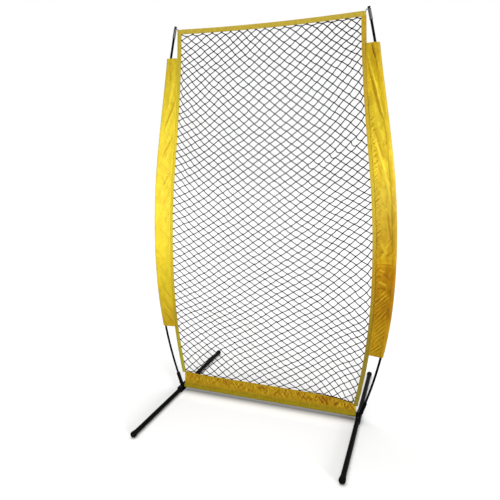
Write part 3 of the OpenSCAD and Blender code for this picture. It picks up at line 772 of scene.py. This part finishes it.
layers = []
room = np.sin(math.pi * flat_steps) ** 0.5
for k in (0, 1):
    layers.append(flat_half + np.clip(crumples(rows_x, front_z, 60 + k), -3.4 * MM, 5 * MM) * room)
slack = 0.5 * MM * ripples(rows_x, round_steps * pocket_r, 81, [37 * MM, 60 * MM, 23 * MM], 0.6)
round_y = -(pocket_r + slack) * np.sin(round_steps)
round_z = bar_z + (pocket_r + slack) * np.cos(round_steps)
lean_y = -seam_half + (round_y[:, :1] + seam_half) * lean_steps
lean_z = bar_seam + (round_z[:, :1] - bar_seam) * lean_steps
back_y, back_z = round_y[:, -1:], round_z[:, -1:]
rise_y = back_y + (seam_half - back_y) * lean_steps
rise_z = back_z + (bar_seam - back_z) * lean_steps
# the crumples' and the pocket's heights, which paint shade in the creases and a highlight on the ridges
relief = np.concatenate([
    layers[0] - flat_half, 0 * lean_y, slack, 0 * rise_y, layers[1][:, ::-1] - flat_half], 1)
layers = [np.maximum(layer, 0.8 * MM) for layer in layers]
y = np.concatenate([-layers[0], lean_y, round_y, rise_y, layers[1][:, ::-1]], 1)
z = np.concatenate([front_z, lean_z, round_z, rise_z, front_z[:, ::-1]], 1)
shorter = taper * np.clip((z - bar_z) / (top_z - bar_z), 0, 1) / band_half
grid = np.stack([rows_x * (1 - shorter), y, z], -1)
girth = run_along(grid[len(grid) // 2])
band_cloth, laid = cloth("bottom_band_cloth", grid, girth, x, cloth_layer, relief)
seams = [laid[:, c] for c in (1, flat_columns - 1, -flat_columns, -2)]
band_thread = stitches("bottom_band_stitches", seams, cloth_lift)
# darker towards the bottom: painted shade under the pocket round the bar
BAND_TONES = [(0.08, "#6a5e10"), (0.18, "#8c7e12"), (0.34, "#8f7a11"), (0.46, "#a48411"), (1.0, "#a48411")]
band_nylon = woven("mustard_nylon_band", BAND_TONES, 0.01, 0.12, "#c8946c", "#6a5410",
                   (62.0, 62.0, 34.0), 0.25)
on_base(band_cloth, band_nylon)
on_base(band_thread, thread_yellow)
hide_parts("bottom_band")


# ---- Sleeves ----
# A long pocket of yellow nylon on each side. It is sewn along the outer edge of the binding, runs out to
# the pole and round it, and its slack lies in long diagonal folds. Both ends have a sewn hem.
levels, seam_x, nose_x = outline("right_sleeve", 2, 0, 0)
sleeve_seam, sleeve_nose = through(levels, seam_x), through(levels, nose_x)
sleeve_top = float(levels[-1])
SLEEVE_FOOT = {"left": 0.410, "right": 0.386}
nose_r = 10.1 * MM
overlap = 6 * MM  # how far the sleeve lies over the binding
seam_y = 2.7 * MM
face_columns, nose_columns = 24, 11
even_share = np.linspace(0, 1, face_columns)
face_share = even_share ** 0.95  # a little closer together by the pole
hem_w, hem_row = 13 * MM, 11 * MM  # depth of a hem, and of its row of stitches

# each fold: height and share of the width where it starts, the same where it ends, how far it stands out
# and how wide it is, both in mm
FOLDS = {
    "left": [
        (1.95, 0.80, 1.84, 0.62, -1.8, 8), (1.93, 0.35, 1.72, 0.60, 1.8, 8),
        (1.86, 0.20, 1.64, 0.85, 2.0, 6), (1.77, 0.02, 1.61, 0.72, -2.4, 5),
        (1.73, 0.02, 1.58, 0.70, 2.6, 6), (1.64, 0.05, 1.50, 0.62, 1.8, 6),
        (1.56, 0.04, 1.44, 0.75, -2.2, 5), (1.50, 0.04, 1.38, 0.85, 2.4, 6),
        (1.37, 0.03, 1.27, 0.60, -1.8, 5), (1.30, 0.02, 1.22, 0.45, 2.0, 4.5),
        (1.25, 0.02, 1.16, 0.50, -1.8, 4.5), (1.20, 0.02, 1.10, 0.55, 2.0, 5),
        (1.13, 0.02, 1.06, 0.40, -1.5, 5), (0.96, 0.03, 1.02, 0.60, 1.6, 8),
        (0.80, 0.05, 0.88, 0.80, 1.2, 9), (0.70, 0.05, 0.79, 0.85, -0.9, 8),
        (0.64, 0.05, 0.74, 0.85, 1.2, 7), (0.585, 0.05, 0.69, 0.85, -1.4, 5),
        (0.54, 0.08, 0.64, 0.80, 1.6, 5), (0.495, 0.10, 0.59, 0.80, -1.8, 4.5),
        (0.46, 0.15, 0.55, 0.80, 1.6, 4.5), (0.43, 0.25, 0.50, 0.80, -1.6, 4.5)],
    "right": [
        (1.96, 0.50, 1.90, 0.70, -2.4, 5), (1.93, 0.68, 1.80, 0.97, -2.6, 4),
        (1.915, 0.12, 1.76, 0.60, 3.2, 5.5), (1.80, 0.50, 1.57, 0.97, 4.8, 4.5),
        (1.86, 0.18, 1.62, 0.72, -2.2, 6), (1.72, 0.25, 1.46, 0.80, 2.0, 7),
        (1.60, 0.15, 1.42, 0.62, -2.2, 5), (1.52, 0.20, 1.36, 0.60, 3.8, 4.5),
        (1.47, 0.12, 1.33, 0.45, -2.4, 4.5), (1.38, 0.55, 1.18, 0.85, 2.4, 5.5),
        (1.30, 0.20, 1.16, 0.60, 1.8, 6), (1.16, 0.62, 1.00, 0.80, -2.6, 5),
        (1.005, 0.20, 0.94, 0.55, 2.2, 6), (0.92, 0.25, 0.975, 0.60, 2.4, 6),
        (0.975, 0.45, 1.02, 0.85, 2.2, 6), (0.96, 0.10, 0.95, 0.45, -2.4, 6),
        (0.935, 0.55, 0.96, 0.85, -2.2, 6), (0.865, 0.08, 0.85, 0.50, 3.0, 6),
        (0.835, 0.05, 0.838, 0.35, 2.8, 5), (0.822, 0.05, 0.82, 0.30, -2.0, 4),
        (0.80, 0.12, 0.782, 0.62, 4.0, 6), (0.845, 0.45, 0.81, 0.85, -2.2, 8),
        (0.765, 0.10, 0.76, 0.60, -2.0, 6), (0.725, 0.35, 0.745, 0.55, 2.4, 4.5),
        (0.70, 0.30, 0.735, 0.85, 1.4, 9)],
}
BACK_FOLDS = [
    (1.88, 0.10, 1.53, 0.70, 2.2, 8), (1.60, 0.10, 1.30, 0.60, -2.0, 7), (1.38, 0.05, 1.10, 0.75, 2.4, 8),
    (1.10, 0.10, 0.88, 0.50, -1.6, 8), (0.92, 0.10, 0.72, 0.70, 2.0, 9), (0.70, 0.20, 0.50, 0.60, -2.0, 8)]
WRAP = {"left": 14, "right": 30}  # degrees that the cloth clings to the pole beyond its front
# parallel wrinkles: lowest and highest z, how steeply they rise outward, their spacing and height in mm
WRINKLES = {"left": [(0.36, 0.70, 1.0, 30, 1.0)], "right": [(0.34, 0.78, 1.07, 24, 2.3)]}
# puckers along the inner seam: lowest and highest z, share of the width where they are, and height in mm
RUCHES = {"left": [(1.00, 1.40, 0.06, 1.4)], "right": [(0.94, 1.66, 0.14, 3.2), (0.60, 0.95, 0.10, 3.0)]}
clear_r = 9.2 * MM  # from the pole's axis to the cloth's outer face
panel_seam, taut_top = 0.895, 1.78  # the right sleeve's seam over its lower panel; taut from it up


def fold_height(z, share, width, folds):
    """Outward bulge of the folds at heights z and shares of the width."""
    total = np.zeros(np.broadcast(z, share).shape)
    for z0, s0, z1, s1, height, wide in folds:
        run_x, run_z = (s1 - s0) * width, z1 - z0
        along = ((share - s0) * width * run_x + (z - z0) * run_z) / (run_x ** 2 + run_z ** 2)
        off = ((share - s0) * width * run_z - (z - z0) * run_x) / np.sqrt(run_x ** 2 + run_z ** 2)
        ends = np.clip(np.minimum(along + 0.15, 1.15 - along) / 0.3, 0, 1)
        total += height * MM * np.exp(-(off / (wide * MM)) ** 2) * ends * ends * (3 - 2 * ends)
    return total


def within(z, low, high, fade):
    """A share that is 1 between two heights and falls to 0 at them."""
    return np.clip(np.minimum(z - low, high - z) / fade, 0, 1)


def sleeve_face(z, wrap, folds, wrinkles, ruches, seed):
    """Places across and outward of one face of a sleeve from its seam to the pole, and their relief."""
    share = face_share
    z = z[:, None]
    start_x = sleeve_seam(z) - overlap
    middle = sleeve_nose(z) - nose_r
    width = middle - nose_r * math.sin(wrap) - start_x
    h = share * share * (3 - 2 * share)
    leave = share * (1 - share) ** 2
    arrive = share * share * (share - 1)
    x = start_x + width * (h + leave + arrive * math.cos(wrap))
    y = seam_y + (nose_r * math.cos(wrap) - seam_y) * h + 0.5 * width * arrive * math.sin(wrap)
    fine = ripples(z, x, seed, [23 * MM, 37 * MM, 61 * MM], 2.2)
    gather = ripples(z, x, seed + 3, [12 * MM, 16 * MM, 21 * MM], 0.5) * np.exp(-share * width / (17 * MM))
    free = np.sin(math.pi * share) ** 0.7
    relief = (fold_height(z, share, width, folds) + 0.5 * MM * fine) * free
    relief += 2.6 * MM * gather * np.clip(share * 12, 0, 1)
    for low, high, middle_share, tall in ruches:
        puckers = np.clip(1.6 * ripples(z, x, seed + 5, [15 * MM, 22 * MM, 34 * MM], 1.2), -1, 1)
        relief += tall * MM * puckers * within(z, low, high, 40 * MM) * bump(share, middle_share, 0.12)
    for low, high, rise, period, tall in wrinkles:
        phase = (z - rise * x) * 2 * math.pi / (period * MM)
        phase += 1.5 * ripples(z, x, seed + 7, [80 * MM, 130 * MM], 0.5)
        uneven = 0.65 + 0.75 * ripples(z, x, seed + 9, [45 * MM, 90 * MM], 0.6)
        relief += tall * MM * np.sin(phase) * within(z, low, high, 60 * MM) * uneven * free
    return x, np.maximum(y + relief, 1.3 * MM), middle, relief


stick = np.concatenate([places(nodes[f"right_pole_{part}"].data) for part in ("lower", "middle", "upper")])
stick = stick[np.abs(stick[:, 1]) > 0.97 * stick[:, 1].max()]
pole_line = np.polyfit(stick[:, 2], stick[:, 0], 5)


def clear_of_pole(x, y, z, facing):
    """Outward places of cloth that has to clear the pole in the sleeve, and slopes off it to the inside."""
    away = x - np.polyval(pole_line, z)
    room = np.sqrt(np.maximum(clear_r ** 2 - (away * np.where(away < 0, 0.6, 1.0)) ** 2, 0))
    return np.where(facing == 0, y, facing * np.maximum(facing * y, room))


def soft_step(way):
    """A step from 0 to 1 within about 3 mm, at 0."""
    return 0.5 + 0.5 * np.tanh(way / (1.6 * MM))[:, None]


# one nylon, toned lighter and darker over its height and differently on each sleeve: painted light and shade
SLEEVE_TONES = {
    "left": [(0.0, "#a58614"), (0.22, "#ceb625"), (0.35, "#e6ce34"), (0.5, "#f0d640"), (0.78, "#e0c937"),
             (1.0, "#bea624")],
    "right": [(0.0, "#9f7d0b"), (0.11, "#ab830d"), (0.17, "#9d7105"), (0.335, "#af7e07"), (0.345, "#c39911"),
              (0.42, "#be9921"), (0.55, "#d2b436"), (0.67, "#eacd37"), (0.8, "#d1b62a"), (0.92, "#d0b120"),
              (1.0, "#bb9c1d")],
}
for side, sign in SIDES.items():
    sleeve_foot = SLEEVE_FOOT[side]
    z = np.linspace(sleeve_foot, sleeve_top, int((sleeve_top - sleeve_foot) / row_step) + 1)
    wrap = math.radians(WRAP[side])
    seed = 250 + 50 * sign
    front_x, front_y, middle, front_relief = sleeve_face(
        z, wrap, FOLDS[side], WRINKLES[side], RUCHES[side], seed)
    back_x, back_y, middle, back_relief = sleeve_face(z, wrap, BACK_FOLDS, [], [], seed + 50)
    if side == "right":
        # a raised line over the lower panel's seam; its relief paints a highlight along it and shade just
        # under it
        ridge = bump(z, panel_seam + 2 * MM, 3 * MM) - 0.9 * bump(z, panel_seam - 5 * MM, 4 * MM)
        ridge = ridge[:, None]
        across_seam = np.clip(even_share * 8 - 0.6, 0, 1)
        front_y = front_y + (0.6 * MM * soft_step(z - panel_seam) + 0.9 * MM * ridge) * across_seam
        front_relief = front_relief * (1 - 0.7 * np.abs(ridge)) + 2.6 * MM * ridge * across_seam
        # a groove along the pole's inner edge, with painted shade in it from its relief
        taut = bump(face_share, 0.88, 0.04) * within(z, panel_seam, taut_top, 0.12)[:, None]
        front_y, front_relief = front_y - 1.6 * MM * taut, front_relief - 1.8 * MM * taut
    turns = np.linspace(math.pi / 2 + wrap, -math.pi / 2 - wrap, nose_columns + 2)[None, 1:-1]
    round_x = middle + nose_r * np.cos(turns)
    round_y = np.broadcast_to(-nose_r * np.sin(turns), round_x.shape)
    across = np.concatenate([front_x, round_x, back_x[:, ::-1]], 1)
    out = np.concatenate([-front_y, round_y, back_y[:, ::-1]], 1)
    # painted shade on the cloth round the pole, darkest along its outer edge
    through_cloth = np.broadcast_to(-1.1 * MM * np.cos(turns) ** 2, round_x.shape)
    relief = np.concatenate([front_relief, through_cloth, back_relief[:, ::-1]], 1)
    hem = 0.55 * MM * (soft_step(sleeve_foot + hem_w - z) + soft_step(z - sleeve_top + hem_w))
    out = out + np.sign(out) * hem * np.clip(np.abs(out) / (3 * MM), 0, 1)
    out = clear_of_pole(across, out, z[:, None], np.sign(np.round(out, 6)))
    grid = np.stack([sign * across, out, np.broadcast_to(z[:, None], out.shape)], -1)
    girth = run_along(grid[len(grid) // 2])
    held_columns = np.array([0, *range(face_columns, face_columns + nose_columns), len(girth) - 1])
    if sign < 0:
        grid, relief = grid[:, ::-1], relief[:, ::-1]
        held_columns = len(girth) - 1 - held_columns
    held = [int(r * len(girth) + c) for r in range(len(z)) for c in held_columns]

    def keep_out(after, before):
        """Keeps the settled cloth off the pole and off the net's plane."""
        facing = np.sign(np.round(before[:, 1], 6))
        off_net = facing * np.maximum(facing * after[:, 1], 1.2 * MM)
        after[:, 1] = np.where(facing == 0, after[:, 1], off_net)
        after[:, 1] = clear_of_pole(sign * after[:, 0], after[:, 1], after[:, 2], facing)
        return after

    piece, laid = cloth(f"{side}_sleeve_cloth", grid, girth, z, cloth_layer, relief, held, keep_out)
    # the relief of the folds, puckers, wrinkles and seam paints shade into their creases and a highlight
    # onto their ridges
    finish = woven(f"{side}_yellow_nylon_sleeve", SLEEVE_TONES[side], sleeve_foot, sleeve_top,
                   "#cdb49c", "#8a7a1c", (48.0, 48.0, 22.0), 0.2 if side == "left" else 0.35)
    hem_rows = np.searchsorted(z, [sleeve_foot + hem_row, sleeve_top - hem_row])
    lines = [laid[r, 1:-1] for r in hem_rows] + [laid[:, c] for c in (2, -3)]
    if side == "right":
        lines.append(laid[np.searchsorted(z, panel_seam + 3 * MM), 3:face_columns])
    thread = stitches(f"{side}_sleeve_stitches", lines, cloth_lift)
    on_base(piece, finish)
    on_base(thread, thread_yellow)
    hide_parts(f"{side}_sleeve")


# ---- Corner loops ----
# A loop of braided elastic cord comes out of each top corner of the binding and hooks over the neck of the
# pole's cap, which keeps the net up and the pole bent.
cord_lean = math.radians(13.15)  # the tails' slope down to the net
loop_r, cord_r = 8 * MM, 1.25 * MM
in_plane, outward = np.array([1, 0, 1]), np.array([0, 1, 0])
turns = np.radians(np.arange(-140, 141, 10))[:, None]
for side, sign in SIDES.items():
    corners = places(nodes[f"{side}_corner_loop"].data)
    ring = corners[np.abs(corners[:, 1]) > 3 * MM]
    middle = (ring.max(0) + ring.min(0)) / 2 * in_plane
    tail_end = corners[corners[:, 2].argmin()] * in_plane
    to_net = np.array([-sign * math.cos(cord_lean), 0, -math.sin(cord_lean)])
    joined = middle + (loop_r + 4 * MM) * to_net
    path = np.concatenate([
        [tail_end - 1.3 * MM * outward, joined - 1.5 * MM * outward],
        middle - loop_r * np.cos(turns) * to_net + loop_r * np.sin(turns) * outward,
        [joined + 1.5 * MM * outward, tail_end + 1.3 * MM * outward]])
    piece = make_piece(f"{side}_corner_cord", [sweep(path, cord_r, 10)])
    finish_with(piece, "SUBSURF", levels=1, render_levels=1)
    on_base(piece, twine)
    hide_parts(f"{side}_corner_loop")


# ---- Studio ----
# A white floor and a white surround, with soft high lights and a low one from the right. A painted shadow
# darkens the floor close under the band.
bpy.ops.mesh.primitive_plane_add(size=40, location=(0, 0, 0))
floor = bpy.context.object
floor.name = "studio_floor"

# Matt white paper. A painted shadow darkens it under the band for the camera only, and it throws back all
# its light.
studio_white = bpy.data.materials.new("matt_white_studio_floor")
add = start_tree(studio_white)
rays = add("LightPath")
matt = add("BsdfDiffuse", {"Color": linear("#f4f4f4")})
place = add("SeparateXYZ", {"Vector": add("TexCoord").outputs["Object"]})
off_middle = add("Math", {0: place.outputs["X"]}, operation="ABSOLUTE")
along_band = add("MapRange", {
    "Value": off_middle, "From Min": band_half + 20 * MM, "From Max": band_half - 20 * MM})
depth = add("MapRange", {
    "Value": place.outputs["Y"], "From Min": -140 * MM, "From Max": 120 * MM})
# painted shadow along the band: darkest right under it, fading towards the camera and away behind it
under = add("ValToRGB", {"Fac": depth}, stops=[
    (0.0, 0.91), (0.27, 1.0), (0.34, 0.97), (0.415, 0.785), (0.49, 0.62), (0.57, 0.33), (0.64, 0.32),
    (1.0, 0.91)])
contact = add("MapRange", {"Value": along_band, "To Min": 0.91, "To Max": under})
shade = add("Math", {0: contact, 1: 0.9}, operation="MULTIPLY")
level = add("BsdfDiffuse", {"Color": shade})
seen = add("MixShader", {0: rays.outputs["Is Camera Ray"], 1: matt, 2: level})
add("OutputMaterial", {"Surface": seen})
paint(floor, studio_white)

world = bpy.data.worlds.new("studio_surround")
bpy.context.scene.world = world
add = start_tree(world)
rays = add("LightPath")
shown = rays.outputs["Is Camera Ray"]
for kind in ("Glossy", "Transmission"):
    shown = add("Math", {0: shown, 1: rays.outputs[f"Is {kind} Ray"]}, operation="MAXIMUM")
soft = add("Background", {"Color": linear("#ffffff"), "Strength": 0.22})
white = add("Background", {"Color": linear("#ffffff"), "Strength": 1.0})
both = add("MixShader", {0: shown, 1: soft, 2: white})
add("OutputWorld", {"Surface": both})

for name, towards, strength, size in (
        ("back_light", (0.20, -0.28, -1.0), 1.65, 50),
        ("front_light", (-0.90, 0.80, -0.22), 3.0, 20),
        ("top_light", (0.05, 0.12, -1.0), 1.4, 105)):
    bpy.ops.object.light_add(type="SUN", location=(0, 0, 4))
    lamp = bpy.context.object
    lamp.name = name
    lamp.rotation_mode = "QUATERNION"
    lamp.rotation_quaternion = Vector(towards).to_track_quat("-Z", "Y")
    lamp.data.energy = strength
    lamp.data.angle = math.radians(size)
bpy.context.scene.view_settings.view_transform = "Standard"
